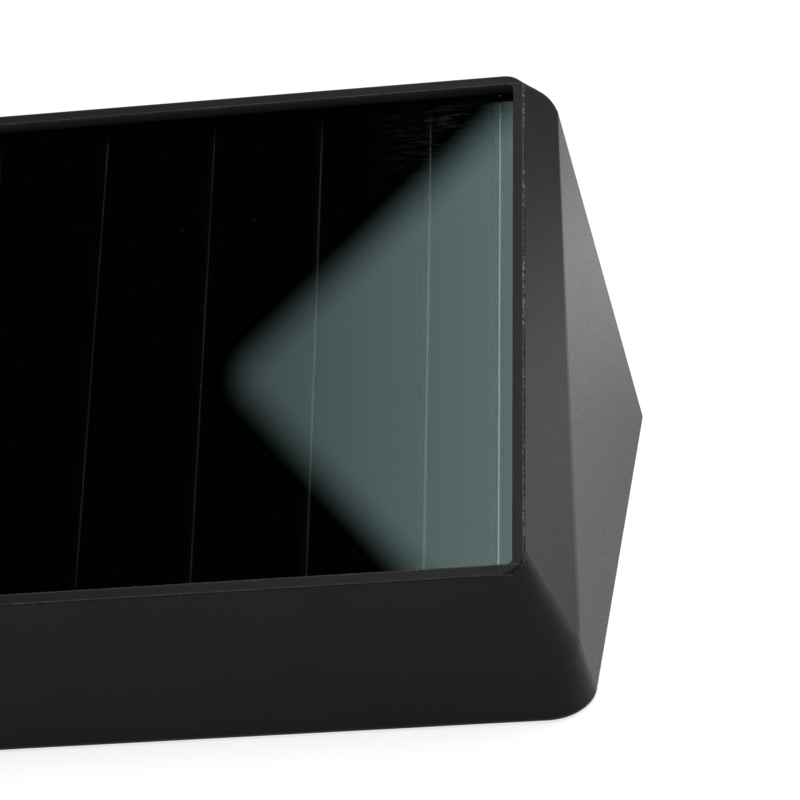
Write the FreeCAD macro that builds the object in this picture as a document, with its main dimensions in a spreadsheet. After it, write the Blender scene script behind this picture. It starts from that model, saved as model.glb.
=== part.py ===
import FreeCAD, Part
import math
import os
import re

import Sketcher
from FreeCAD import Placement, Rotation, Vector

# A solar fence light: a wedge-shaped moulded housing that hangs on a fence by two keyholes in its
# rear cover, with a striped thin-film solar panel sunk in its sloping top and a frosted diffuser in
# its base. Millimetres and degrees. X runs along the length, Y points into the fence, whose face is
# y = 0, and Z points up. The origin lies on the fence face, at the height where the screws hang.
# Heights in the formulas are measured up from the base, and depths forward from the fence.

SIZES = {
    # outer form of the housing
    "end_room": 21.45,            # from the battery holder's inner end to the end of the rim
    "roof_room": 14.9,            # from the battery's contact tabs up to the rim's rear edge
    "rim_width": 51.1,            # flat rim round the panel, measured down the slope
    "panel_angle": 27.5,
    "rim_setback": 2.4,           # rear edge of the rim, forward of the fence
    "land_width": 1.0,            # width of the rim's flat top
    "rear_bevel_height": 2.7,     # from the rim's rear edge down to the flat back
    "crease_drop": 5.25,          # from the rim's rear edge down to the crease on the ends, at the back
    "front_crease_height": 4.5,   # where the bevel below the rim ends at the front
    "end_flare": 6.96,            # how far the ends stand out past the rim, at the base's rear edge
    "end_draft": 7.79,
    "end_taper": 3.33,
    "rim_corner_radius": 2.6,
    "rim_back_radius": 2.0,       # the rim's rear corners
    "back_corner_radius": 1.5,    # where the rear bevel's ends meet the flat back
    "crease_corner_radius": 3.4,
    "crease_end_radius": 1.0,     # the crease's radius at the back
    "base_corner_radius": 4.2,
    "rim_edge_radius": 0.25,
    "base_edge_radius": 0.6,
    "wall": 2.0,
    "mount_height": 19.5,         # from the base up to the origin
    # solar panel and its recess
    "panel_recess": 1.3,          # from the rim down to the glass
    "panel_gap": 0.2,
    "glass_thickness": 1.1,
    "film_thickness": 0.1,
    "ribbon_thickness": 0.1,
    "backing_thickness": 0.25,
    "sealant_thickness": 0.4,
    "sealant_width": 2.6,
    "recess_floor": 1.6,
    "recess_corner_radius": 0.6,
    "cell_pitch": 10.0,
    "scribe_width": 0.13,
    "edge_strip": 1.32,           # bare strip between the last scribe line and the glass's edge
    "ribbon_width": 2.0,
    "ribbon_inset": 4.1,          # ribbon's middle, in from the glass's end
    "ribbon_margin": 2.0,
    "panel_lead_drop": 27.0,      # lead holes, down the slope from the rim's rear edge
    "lead_hole_radius": 1.2,
    "lead_radius": 0.55,
    "lead_bend": 2.0,
    "lead_step": 3.0,
    "lead_reach": 4.5,
    "lead_drop": 5.0,
    # rear cover
    "cover_thickness": 2.0,
    "cover_gap": 0.15,
    "cover_lip": 1.0,             # wall left outside the cover's rebate
    "cover_margin": 1.25,         # from the crease down to the cover's rebate
    "cover_corner_radius": 1.5,
    "gasket_thickness": 0.5,
    "gasket_play": 0.1,
    "cover_screw_side": 3.85,     # screws' places, in from the rim's ends
    "cover_screw_inset": 4.8,     # and in from the top and the bottom of the rebate
    "cup_radius": 3.4,
    "cup_depth": 3.6,
    "cover_boss_radius": 2.7,
    "cover_boss_length": 7.2,
    "cover_screw_radius": 1.25,
    "cover_screw_length": 6.0,
    "cover_head_radius": 2.3,
    "cover_head_height": 1.7,
    "head_play": 0.3,
    # keyholes
    "keyhole_room": 1.0,          # between the battery holder and the keyhole pockets
    "keyhole_drop": 6.0,          # from the hanging height down to the round entry
    "keyhole_entry_radius": 4.2,
    "keyhole_slot_radius": 2.2,
    "pocket_play": 0.6,
    "pocket_depth": 5.6,
    "pocket_wall": 1.3,
    # diffuser, reflector and lamp board
    "window_length": 62.0,
    "window_width": 18.0,
    "window_depth": 27.5,         # middle of the window, forward of the fence
    "window_corner_radius": 2.5,
    "window_play": 0.2,
    "diffuser_inset": 0.4,
    "diffuser_flange": 2.2,
    "diffuser_thickness": 1.2,
    "diffuser_gasket_thickness": 0.5,
    "board_height": 8.6,
    "board_thickness": 1.2,
    "board_width": 18.0,
    "board_left": 46.0,
    "board_right": 48.5,
    "board_corner_radius": 1.0,
    "board_screw_x": 36.5,
    "board_boss_radius": 2.6,
    "board_screw_radius": 0.95,
    "board_screw_length": 6.0,
    "board_head_radius": 1.9,
    "board_head_height": 1.3,
    "reflector_wall": 2.0,
    "reflector_top": 1.0,
    "reflector_slant": 4.0,
    "chip_pitch": 9.0,
    "chip_length": 3.5,
    "chip_width": 2.8,
    "chip_height": 0.8,
    "chip_play": 0.35,
    "controller_length": 4.9,
    "controller_width": 3.9,
    "controller_height": 1.5,
    "controller_x": 12.0,
    "inductor_radius": 2.6,
    "inductor_waist": 1.9,
    "inductor_height": 3.6,
    "inductor_x": 4.0,
    "small_part_length": 2.0,
    "small_part_width": 1.25,
    "small_part_height": 0.6,
    "small_part_grid": 4.0,
    # battery and holder
    "cell_radius": 7.1,
    "cell_length": 49.0,
    "cell_cap_radius": 2.75,
    "cell_cap_length": 1.0,
    "cell_height": 13.0,
    "cell_play": 0.3,
    "holder_wall": 1.3,
    "holder_floor": 1.2,
    "holder_end": 1.5,
    "contact_thickness": 0.6,
    "contact_width": 9.0,
    "contact_tab": 2.4,
    "contact_spring_length": 3.6,
    "contact_spring_radius": 3.6,
    "contact_wire_radius": 0.35,
    "stake_radius": 1.2,
    "stake_spacing": 44.0,
    # push button and switch
    "button_x": 44.6,
    "button_radius": 3.5,
    "button_clearance": 0.1,
    "button_inset": 0.3,
    "button_travel": 1.0,
    "button_flange": 1.3,
    "button_flange_thickness": 0.8,
    "button_seal_thickness": 0.6,
    "button_seal_width": 1.4,
    "button_seat_gap": 0.05,
    "button_edge_radius": 0.4,
    "switch_size": 6.0,
    "switch_body_height": 2.4,
    "switch_bore_depth": 1.9,
    "plunger_radius": 1.2,
    "plunger_clearance": 0.06,
    "plunger_overlap_length": 0.4,
    "switch_spring_radius": 2.3,
    "switch_wire_radius": 0.16,
}

CHIP_COUNT = 6
SPRING_TURNS = 3

doc = FreeCAD.newDocument("fence_light")
sheet = doc.addObject("Spreadsheet::Sheet", "Sizes")
for row, (alias, number) in enumerate(SIZES.items(), start=1):
    sheet.set(f"A{row}", alias)
    sheet.set(f"B{row}", str(number))
    sheet.setAlias(f"B{row}", alias)
doc.recompute()

ALIASES = re.compile(r"\b(" + "|".join(SIZES) + r")\b")
PARTS = {}


def size(name):
    """The sheet's number for one size."""
    return float(sheet.get(name))


def bind(item, path, formula):
    """Ties a property to a formula written in the sheet's aliases."""
    item.setExpression(path, ALIASES.sub(r"Sizes.\1", formula))


def place(item, x="0", y="0", z="0", tilt=None):
    """Places an item: x, y, height above the base, and the angle it is tipped back about X."""
    bind(item, "Placement.Base.x", x)
    bind(item, "Placement.Base.y", y)
    bind(item, "Placement.Base.z", f"({z}) - mount_height")
    if tilt is not None:
        item.Placement = Placement(Vector(0, 0, 0), Rotation(Vector(1, 0, 0), 1))
        bind(item, "Placement.Rotation.Angle", tilt)
    return item


def block(name, sizes, corner, tilt=None):
    """A box from its lowest corner."""
    item = doc.addObject("Part::Box", name)
    for side, formula in zip(("Length", "Width", "Height"), sizes):
        bind(item, side, formula)
    return place(item, *corner, tilt=tilt)


def centred_block(name, sizes, middle):
    """A box centred on x and y, standing on the given height."""
    x, y, z = middle
    corner = (f"({x}) - ({sizes[0]})/2", f"({y}) - ({sizes[1]})/2", z)
    return block(name, sizes, corner)


def rod(name, radius, length, start, way="up"):
    """A cylinder from its start point, going up, forward from the fence, or right."""
    item = doc.addObject("Part::Cylinder", name)
    bind(item, "Radius", radius)
    bind(item, "Height", length)
    place(item, *start)
    turns = {"up": (Vector(1, 0, 0), 0), "forward": (Vector(1, 0, 0), 90), "right": (Vector(0, 1, 0), 90)}
    axis, angle = turns[way]
    item.Placement = Placement(item.Placement.Base, Rotation(axis, angle))
    return item


def cut(label, base, *tools):
    """The base with every tool taken away."""
    item = doc.addObject("Part::Cut", label)
    item.Base = base
    item.Tool = tools[0] if len(tools) == 1 else join(f"{label}_tools", *tools)
    return item


def join(label, *pieces):
    """Overlapping pieces moulded as one."""
    item = doc.addObject("Part::MultiFuse", label)
    item.Shapes = list(pieces)
    return item


def overlap(label, *pieces):
    """What all the pieces share."""
    item = doc.addObject("Part::MultiCommon", label)
    item.Shapes = list(pieces)
    return item


def group(label, *pieces):
    """Separate solids of one kind that share a node."""
    item = doc.addObject("Part::Compound", label)
    item.Links = list(pieces)
    return item


def subpart(label, item):
    """Registers a finished piece under the name of its node."""
    item.Label = label
    PARTS[label] = item
    return item


def section(name, rear_half, front_half, depth, y="0", z="0", tilt="0*1deg"):
    """A sketched trapezoid, symmetric about X = 0, that runs forward from its rear edge."""
    sketch = doc.addObject("Sketcher::SketchObject", name)
    corners = [Vector(-40, 0, 0), Vector(40, 0, 0), Vector(45, -30, 0), Vector(-45, -30, 0)]
    for first, second in zip(corners, corners[1:] + corners[:1]):
        sketch.addGeometry(Part.LineSegment(first, second))
    for side in range(4):
        sketch.addConstraint(Sketcher.Constraint("Coincident", side, 2, (side + 1) % 4, 1))
    sketch.addConstraint(Sketcher.Constraint("PointOnObject", 0, 1, -1))
    sketch.addConstraint(Sketcher.Constraint("Symmetric", 0, 1, 0, 2, -2))
    sketch.addConstraint(Sketcher.Constraint("Symmetric", 2, 1, 2, 2, -2))
    dimensions = (
        ("rear_half", Sketcher.Constraint("DistanceX", -1, 1, 0, 2, 40), rear_half),
        ("front_half", Sketcher.Constraint("DistanceX", -1, 1, 2, 1, 45), front_half),
        ("depth", Sketcher.Constraint("DistanceY", 2, 1, -1, 1, 30), depth),
    )
    for label, constraint, formula in dimensions:
        sketch.renameConstraint(sketch.addConstraint(constraint), label)
        bind(sketch, f"Constraints.{label}", formula)
    return place(sketch, "0", y, z, tilt)


def loft(name, *sections):
    """A solid ruled from each section to the next."""
    item = doc.addObject("Part::Loft", name)
    item.Sections = list(sections)
    item.Solid = True
    item.Ruled = True
    return item


def extrusion(name, sketch, length):
    """A sketch pushed out along its own normal."""
    item = doc.addObject("Part::Extrusion", name)
    item.Base = sketch
    item.DirMode = "Normal"
    item.Solid = True
    bind(item, "LengthFwd", length)
    return item


def rounded(name, base, chosen):
    """Rounds the chosen edges, each given with its radius at its lower and its upper end."""
    doc.recompute()
    item = doc.addObject("Part::Fillet", name)
    item.Base = base
    rows = []
    for edge, low_radius, high_radius in chosen:
        number = next(i for i, other in enumerate(base.Shape.Edges, start=1) if other.isSame(edge))
        ends = (edge.valueAt(edge.FirstParameter), edge.valueAt(edge.LastParameter))
        rising = ends[1].z >= ends[0].z
        rows.append((number, low_radius, high_radius) if rising else (number, high_radius, low_radius))
    item.Edges = rows
    doc.recompute()
    return item


def edge_near(base, point):
    """The edge whose middle is nearest to a point."""
    return min(base.Shape.Edges, key=lambda edge: (edge.CenterOfMass - point).Length)


def plate(name, length, width, thickness, corner_radius, middle, tilt=None):
    """A padded rounded rectangle, centred on its middle, whose lower face is at the given height."""
    body = doc.addObject("PartDesign::Body", name)
    sketch = body.newObject("Sketcher::SketchObject", f"{name}_outline")
    sketch.AttachmentSupport = [(next(f for f in body.Origin.OriginFeatures if f.Role == "XY_Plane"), "")]
    sketch.MapMode = "FlatFace"
    corners = [Vector(-10, -5, 0), Vector(10, -5, 0), Vector(10, 5, 0), Vector(-10, 5, 0)]
    for first, second in zip(corners, corners[1:] + corners[:1]):
        sketch.addGeometry(Part.LineSegment(first, second))
    for side in range(4):
        sketch.addConstraint(Sketcher.Constraint("Coincident", side, 2, (side + 1) % 4, 1))
        sketch.addConstraint(Sketcher.Constraint("Vertical" if side % 2 else "Horizontal", side))
    sketch.addConstraint(Sketcher.Constraint("Symmetric", 0, 1, 2, 1, -1, 1))
    dimensions = (
        ("length", Sketcher.Constraint("DistanceX", 0, 1, 0, 2, 20), length),
        ("width", Sketcher.Constraint("DistanceY", 1, 1, 1, 2, 10), width),
    )
    for label, constraint, formula in dimensions:
        sketch.renameConstraint(sketch.addConstraint(constraint), label)
        bind(sketch, f"Constraints.{label}", formula)
    pad = body.newObject("PartDesign::Pad", f"{name}_pad")
    pad.Profile = sketch
    bind(pad, "Length", thickness)
    doc.recompute()
    upright = [f"Edge{number}" for number, edge in enumerate(pad.Shape.Edges, start=1)
               if abs(edge.tangentAt(edge.FirstParameter).z) > 0.99]
    corner = body.newObject("PartDesign::Fillet", f"{name}_corners")
    corner.Base = (pad, upright)
    bind(corner, "Radius", corner_radius)
    return place(body, *middle, tilt=tilt)


def screw(name, start, way, radius, length, head_radius, head_height):
    """A pan-head screw: the head stands at the start, and the shank goes on from it."""
    x, y, z = start
    head = rod(f"{name}_head", head_radius, head_height, start, way)
    slot_length = f"1.3*({head_radius})"
    slot_width = f"0.3*({head_radius})"
    slot_depth = f"0.5*({head_height})"
    middle = (x, y, z)
    if way == "forward":
        shank_start = (x, f"({y}) - ({head_height}) + 0.1", z)
        flat = (f"({x}) - ({slot_length})/2", f"({y}) - ({slot_depth})", f"({z}) - ({slot_width})/2")
        upright = (f"({x}) - ({slot_width})/2", f"({y}) - ({slot_depth})", f"({z}) - ({slot_length})/2")
        first = block(f"{name}_slot_a", (slot_length, slot_depth, slot_width), flat)
        second = block(f"{name}_slot_b", (slot_width, slot_depth, slot_length), upright)
    else:
        shank_start = (x, y, f"({z}) - ({length})")
        top = f"({z}) + ({head_height}) - ({slot_depth})"
        first = centred_block(f"{name}_slot_a", (slot_length, slot_width, slot_depth), (x, y, top))
        second = centred_block(f"{name}_slot_b", (slot_width, slot_length, slot_depth), (x, y, top))
    shank = rod(f"{name}_shank", radius, f"({length}) + 0.1", shank_start, way)
    return cut(name, join(f"{name}_blank", head, shank), first, second)


def lead(label, points, radius, bend):
    """An insulated lead: straight runs joined by tangent arcs."""
    stops = [Vector(*point) for point in points]
    edges = []
    start = stops[0]
    for before, corner, after in zip(stops, stops[1:], stops[2:]):
        into = (corner - before).normalize()
        out = (after - corner).normalize()
        turn = into.getAngle(out)
        setback = bend * math.tan(turn / 2)
        arc_start = corner - into * setback
        arc_end = corner + out * setback
        bisector = (out - into).normalize()
        centre = corner + bisector * (bend / math.cos(turn / 2))
        arc_middle = centre - bisector * bend
        edges.append(Part.makeLine(start, arc_start))
        edges.append(Part.Arc(arc_start, arc_middle, arc_end).toShape())
        start = arc_end
    edges.append(Part.makeLine(start, stops[-1]))
    path = Part.Wire(edges)
    ring = Part.Wire([Part.makeCircle(radius, stops[0], stops[1] - stops[0])])
    item = doc.addObject("Part::Feature", label)
    item.Shape = path.makePipeShell([ring], True, False)
    item.Placement = Placement(Vector(0, 0, -size("mount_height")), Rotation())
    return subpart(label, item)


def coil(name, radius, wire_radius, length, turns):
    """A helical spring that rises from its own origin."""
    helix = doc.addObject("Part::Helix", f"{name}_helix")
    bind(helix, "Radius", radius)
    bind(helix, "Height", f"({length}) - 2*({wire_radius})")
    bind(helix, "Pitch", f"(({length}) - 2*({wire_radius}))/{turns}")
    helix.SegmentLength = 0.5
    wire = doc.addObject("Part::Circle", f"{name}_wire")
    bind(wire, "Radius", wire_radius)
    wire.Placement = Placement(Vector(0, 0, 0), Rotation(Vector(1, 0, 0), 90))
    bind(wire, "Placement.Base.x", radius)
    item = doc.addObject("Part::Sweep", name)
    item.Sections = [wire]
    doc.recompute()
    item.Spine = (helix, [f"Edge{number}" for number in range(1, len(helix.Shape.Edges) + 1)])
    item.Solid = True
    item.Frenet = True
    return item


# Formulas that several pieces share
SLOPE = "(panel_angle*1deg)"
SEAT_DEPTH = "(cover_thickness + gasket_thickness)"
CELL_DEPTH = "(cover_thickness + holder_floor + cell_play + cell_radius)"
HOLDER_INNER = "(cell_length + cell_cap_length + contact_spring_length + 2*contact_thickness)"
HOLDER_HALF = "(cell_radius + cell_play + holder_wall)"
TAB_TOP = f"(cell_height + {HOLDER_HALF} + contact_tab)"
RIM_LENGTH = f"({HOLDER_INNER} + 2*end_room)"
RIM_HEIGHT = f"({TAB_TOP} + roof_room)"
FRONT = f"(rim_setback + rim_width*cos{SLOPE})"
CREASE_HEIGHT = f"({RIM_HEIGHT} - crease_drop)"
CREASE_RISE = f"({CREASE_HEIGHT} - front_crease_height)"
BACK_HEIGHT = f"({RIM_HEIGHT} - rear_bevel_height)"
RECESS_DEPTH = ("(panel_recess + glass_thickness + film_thickness + ribbon_thickness"
                " + backing_thickness + sealant_thickness)")
RECESS_LENGTH = f"({RIM_LENGTH} - 2*land_width)"
RECESS_WIDTH = "(rim_width - 2*land_width)"
COVER_TOP = f"({CREASE_HEIGHT} - cover_margin)"
COVER_SCREW_X = f"({RIM_LENGTH}/2 - cover_screw_side)"
COVER_SCREW_HEIGHTS = ("(cover_lip + cover_screw_inset)", f"({COVER_TOP} - cover_screw_inset)")
POCKET_HALF = "(keyhole_entry_radius + pocket_play)"
KEYHOLE_X = f"({HOLDER_INNER}/2 + holder_end + keyhole_room + pocket_wall + {POCKET_HALF})"
BOARD_TOP = "(board_height + board_thickness)"
FLANGE_BASE = "(wall + diffuser_gasket_thickness)"
FLANGE_TOP = f"({FLANGE_BASE} + diffuser_thickness)"
FLANGE_LENGTH = "(window_length + 2*diffuser_flange)"
FLANGE_WIDTH = "(window_width + 2*diffuser_flange)"


def half_width(depth, height):
    """Half the housing's length at a depth and height on its end faces."""
    return (f"({RIM_LENGTH}/2 + end_flare - tan(end_draft*1deg)*({height})"
            f" - tan(end_taper*1deg)*({depth}))")


def panel_y(down, lift="0"):
    """Y of a point a distance down the slope from the rim's rear edge, lifted off the rim's plane."""
    return f"(-rim_setback - ({down})*cos{SLOPE} - ({lift})*sin{SLOPE})"


def panel_z(down, lift="0"):
    """Height of the same point."""
    return f"({RIM_HEIGHT} - ({down})*sin{SLOPE} + ({lift})*cos{SLOPE})"


# Where the panel's leads pass through the floor of the recess
LEAD_Y = panel_y("panel_lead_drop", f"(-{RECESS_DEPTH})")
LEAD_Z = panel_z("panel_lead_drop", f"(-{RECESS_DEPTH})")


def tag_of(side):
    """A word for the side that a sign stands for."""
    return "left" if side == "-" else "right"


def holder_inner_length():
    """The battery holder's inner length."""
    return (size("cell_length") + size("cell_cap_length") + size("contact_spring_length")
            + 2 * size("contact_thickness"))


def half_glass_length():
    """Half the length of the panel's glass."""
    return holder_inner_length() / 2 + size("end_room") - size("land_width") - size("panel_gap")


def tab_top():
    """Height of the tops of the battery's contact tabs."""
    return sum(size(name) for name in ("cell_height", "cell_radius", "cell_play", "holder_wall",
                                       "contact_tab"))


def panel_plate(name, length, width, thickness, corner_radius, lift):
    """A plate parallel to the panel and centred on it, whose lower face is at the given lift."""
    middle = ("0", panel_y("rim_width/2", lift), panel_z("rim_width/2", lift))
    return plate(name, length, width, thickness, corner_radius, middle, f"{SLOPE}")


def make_outer_form():
    """The wedge, with rounded front corners, a bevel below the rim and a soft rim edge."""
    back = "rim_setback"
    rim = section("rim_section", f"{RIM_LENGTH}/2", f"{RIM_LENGTH}/2",
                  f"rim_width + 2*{back}/cos{SLOPE}", back, f"{RIM_HEIGHT} + 2*{back}*tan{SLOPE}", SLOPE)
    crease_back = f"({CREASE_HEIGHT} + {back}*{CREASE_RISE}/{FRONT})"
    crease = section("crease_section", half_width(f"-{back}", crease_back),
                     half_width(FRONT, "front_crease_height"),
                     f"hypot({FRONT}; {CREASE_RISE})*(1 + {back}/{FRONT})",
                     back, crease_back, f"atan({CREASE_RISE}/{FRONT})")
    base = section("base_section", half_width(f"-{back}", "0"), half_width(FRONT, "0"),
                   f"{FRONT} + {back}", back)
    long_wedge = loft("long_wedge", base, crease, rim)
    behind = (f"2*{RIM_LENGTH}", "rim_width", f"2*{RIM_HEIGHT}")
    behind_back = block("behind_back", behind, (f"-{RIM_LENGTH}", "0", "-wall"))
    behind_bevel = block("behind_bevel", behind, (f"-{RIM_LENGTH}", "0", BACK_HEIGHT),
                         "atan(rim_setback/rear_bevel_height)")
    wedge = cut("wedge", long_wedge, behind_back, behind_bevel)
    doc.recompute()

    rim_points, crease_points, base_points = [
        [vertex.Point for vertex in outline.Shape.Vertexes] for outline in (rim, crease, base)]
    def front_corner(points, side):
        return min((point for point in points if point.x * side > 0), key=lambda p: p.y)

    wedge_points = [vertex.Point for vertex in wedge.Shape.Vertexes]
    high, middle, low = (size("rim_corner_radius"), size("crease_corner_radius"),
                         size("base_corner_radius"))
    back_edges = []
    for side in (-1, 1):
        points = [point for point in wedge_points if point.x * side > 0]
        rim_rear = max(points, key=lambda p: p.z)
        back_corner = max((point for point in points if abs(point.y) < 0.01), key=lambda p: p.z)
        back_edges.append((edge_near(wedge, (rim_rear + back_corner) / 2),
                           size("back_corner_radius"), size("rim_back_radius")))
    soft_back = rounded("soft_back", wedge, back_edges)

    corner_edges = []
    for side in (-1, 1):
        rim_front, crease_front, base_front = [
            front_corner(points, side) for points in (rim_points, crease_points, base_points)]
        crease_rear = max((p for p in crease_points if p.x * side > 0), key=lambda p: p.y)
        corner_edges += [
            (edge_near(soft_back, (rim_front + crease_front) / 2), middle, high),
            (edge_near(soft_back, (crease_front + base_front) / 2), low, middle),
            (edge_near(soft_back, (crease_rear + crease_front) / 2), middle, size("crease_end_radius")),
        ]
    cornered = rounded("cornered", soft_back, corner_edges)

    slope = math.radians(size("panel_angle"))
    rim_normal = Vector(0, -math.sin(slope), math.cos(slope))
    rim_height = rim_normal.dot(rim.Shape.Vertexes[0].Point)
    rim_edges = [edge for edge in cornered.Shape.Edges
                 if all(abs(rim_normal.dot(v.Point) - rim_height) < 0.01 for v in edge.Vertexes)]
    rim_radius = size("rim_edge_radius")
    soft_rim = rounded("soft_rim", cornered, [(edge, rim_radius, rim_radius) for edge in rim_edges])

    base_height = -size("mount_height")
    base_edges = [edge for edge in soft_rim.Shape.Edges
                  if all(abs(v.Z - base_height) < 0.01 for v in edge.Vertexes)
                  and edge.CenterOfMass.y < -1]
    base_radius = size("base_edge_radius")
    return rounded("outer_form", soft_rim, [(edge, base_radius, base_radius) for edge in base_edges])


def make_cavity():
    """The hollow of the housing: open at the back, with a sloping roof under the panel."""
    roof_lift = f"(-{RECESS_DEPTH} - recess_floor)"
    roof_height = f"({RIM_HEIGHT} + rim_setback*tan{SLOPE} + {roof_lift}/cos{SLOPE})"
    inner_front = f"({FRONT} - wall)"
    roof = section("roof_section", f"{RECESS_LENGTH}/2", f"{RECESS_LENGTH}/2",
                   f"{inner_front}/cos{SLOPE}", "0", roof_height, SLOPE)
    floor = section("floor_section", f"{half_width('0', 'wall')} - wall",
                    f"{half_width(inner_front, 'wall')} - wall", inner_front, "0", "wall")
    limit = block("cavity_limit", (f"2*{RIM_LENGTH}", "2*rim_width", f"{COVER_TOP} - cover_lip - wall"),
                  (f"-{RIM_LENGTH}", "-2*rim_width", "wall"))
    return overlap("cavity", loft("cavity_wedge", floor, roof), limit)


def cover_outline(name, inset, length, depth="0"):
    """A plate shaped like the rear opening, set in from the housing's outline, going forward."""
    top = f"({COVER_TOP} - ({inset}))"
    bottom = f"(cover_lip + ({inset}))"
    sketch = section(f"{name}_sketch", f"{half_width('0', top)} - cover_lip - ({inset})",
                     f"{half_width('0', bottom)} - cover_lip - ({inset})", f"{top} - {bottom}",
                     f"-({depth})", top, "90*1deg")
    solid = extrusion(f"{name}_solid", sketch, length)
    doc.recompute()
    along = [edge for edge in solid.Shape.Edges
             if abs(edge.tangentAt(edge.FirstParameter).y) > 0.99]
    radius = size("cover_corner_radius")
    return rounded(name, solid, [(edge, radius, radius) for edge in along])


def cover_screw_places():
    """The four corners of the rear cover where its screws go."""
    return [(f"({side}{COVER_SCREW_X})", height) for side in ("-", "") for height in COVER_SCREW_HEIGHTS]


def make_housing():
    """The black moulded shell: outer form, panel recess, cavity, window, button hole and bosses."""
    outer = make_outer_form()
    recess = panel_plate("recess", RECESS_LENGTH, RECESS_WIDTH, f"({RECESS_DEPTH} + 1)",
                         "recess_corner_radius", f"(-{RECESS_DEPTH})")
    rebate = cover_outline("rebate", "0", SEAT_DEPTH)
    window = plate("window", "window_length", "window_width", "2*wall", "window_corner_radius",
                   ("0", "-window_depth", "-wall/2"))
    button_hole = rod("button_hole", "button_radius + button_clearance", "2*wall",
                      ("button_x", "-window_depth", "-wall/2"))
    lead_holes = []
    for side in ("-", ""):
        x = f"({side}({RECESS_LENGTH}/2 - panel_gap - ribbon_inset))"
        lead_holes.append(rod(f"lead_hole_{tag_of(side)}", "lead_hole_radius", "4*recess_floor",
                              (x, LEAD_Y, f"{LEAD_Z} - 3*recess_floor")))
    shell = cut("shell", outer, make_cavity(), rebate, window, button_hole)

    bosses = []
    pilots = []
    for x, height in cover_screw_places():
        start = (x, "-cup_depth - cover_gap", height)
        number = len(bosses)
        boss = rod(f"cover_boss_{number}", "cover_boss_radius", "cover_boss_length", start, "forward")
        bosses.append(boss)
        pilots.append(rod(f"cover_pilot_{number}", "cover_screw_radius", "cover_screw_length", start,
                          "forward"))
        if height == COVER_SCREW_HEIGHTS[0]:
            corner = (f"{x} - cover_boss_radius/2", "-cup_depth - cover_gap - cover_boss_length", "wall/2")
            sides = ("cover_boss_radius", "cover_boss_length", f"{height} - wall/2")
            bosses.append(block(f"boss_foot_{number}", sides, corner))
    for side in ("-", ""):
        x = f"({side}board_screw_x)"
        number = len(bosses)
        bosses.append(rod(f"board_boss_{number}", "board_boss_radius", "board_height - wall/2",
                          (x, "-window_depth", "wall/2")))
        pilots.append(rod(f"board_pilot_{number}", "board_screw_radius", "board_screw_length + 1",
                          (x, "-window_depth", f"{BOARD_TOP} - board_screw_length - 1")))
    inner_form = overlap("bosses_inside", join("bosses", *bosses), outer)
    moulding = join("moulding", shell, inner_form)
    return subpart("housing", cut("housing", moulding, recess, *lead_holes, *pilots))


def make_rear_cover():
    """The cover that hangs on the fence: a plate with keyhole pockets, screw cups and two stakes."""
    plate_solid = cover_outline("cover_plate", "cover_gap", "cover_thickness")
    solids = [plate_solid]
    hollows = []
    entry_height = "(mount_height - keyhole_drop)"
    pocket_low = f"({entry_height} - {POCKET_HALF})"
    pocket_rise = f"(keyhole_drop + 2*{POCKET_HALF})"
    for side in ("-", ""):
        x = f"({side}{KEYHOLE_X})"
        tag = tag_of(side)
        wall_sides = (f"2*({POCKET_HALF} + pocket_wall)", "cover_thickness/2 + pocket_depth + pocket_wall",
                      f"{pocket_rise} + 2*pocket_wall")
        wall_corner = (f"{x} - {POCKET_HALF} - pocket_wall", "-cover_thickness - pocket_depth - pocket_wall",
                       f"{pocket_low} - pocket_wall")
        solids.append(block(f"pocket_wall_{tag}", wall_sides, wall_corner))
        hollows.append(block(f"pocket_{tag}", (f"2*{POCKET_HALF}", "pocket_depth", pocket_rise),
                             (f"{x} - {POCKET_HALF}", "-cover_thickness - pocket_depth", pocket_low)))
        start = (x, "1", entry_height)
        hollows.append(rod(f"entry_{tag}", "keyhole_entry_radius", "cover_thickness + 2", start, "forward"))
        hollows.append(block(f"slot_{tag}", ("2*keyhole_slot_radius", "cover_thickness + 2", "keyhole_drop"),
                             (f"{x} - keyhole_slot_radius", "-cover_thickness - 1", entry_height)))
        hollows.append(rod(f"slot_end_{tag}", "keyhole_slot_radius", "cover_thickness + 2",
                           (x, "1", "mount_height"), "forward"))
    for number, (x, height) in enumerate(cover_screw_places()):
        solids.append(rod(f"cup_{number}", "cup_radius", "cup_depth - cover_thickness/2",
                          (x, "-cover_thickness/2", height), "forward"))
        hollows.append(rod(f"cup_bore_{number}", "cover_head_radius + head_play",
                           "cover_head_height + head_play + 1", (x, "1", height), "forward"))
        hollows.append(rod(f"cup_hole_{number}", "cover_screw_radius + head_play/2", "cup_depth + 2",
                           (x, "1", height), "forward"))
    for side in ("-", ""):
        solids.append(rod(f"stake_{tag_of(side)}", "stake_radius", "cover_thickness/2 + 0.9*holder_floor",
                          (f"({side}stake_spacing/2)", "-cover_thickness/2", "cell_height"), "forward"))
    return subpart("rear_cover", cut("rear_cover", join("cover_moulding", *solids), *hollows))


def make_cover_seal_and_screws():
    """The rubber ring that the cover presses on, and the four screws that hold it."""
    ring = cover_outline("gasket_outside", "gasket_play", "gasket_thickness", "cover_thickness")
    hole = cover_outline("gasket_inside", "cover_lip - gasket_play", "gasket_thickness", "cover_thickness")
    subpart("rear_gasket", cut("rear_gasket", ring, hole))
    screws = []
    for number, (x, height) in enumerate(cover_screw_places()):
        start = (x, "-head_play", height)
        screws.append(screw(f"cover_screw_{number}", start, "forward", "cover_screw_radius",
                            "cover_screw_length", "cover_head_radius", "cover_head_height"))
    subpart("cover_screws", group("cover_screws", *screws))


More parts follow.
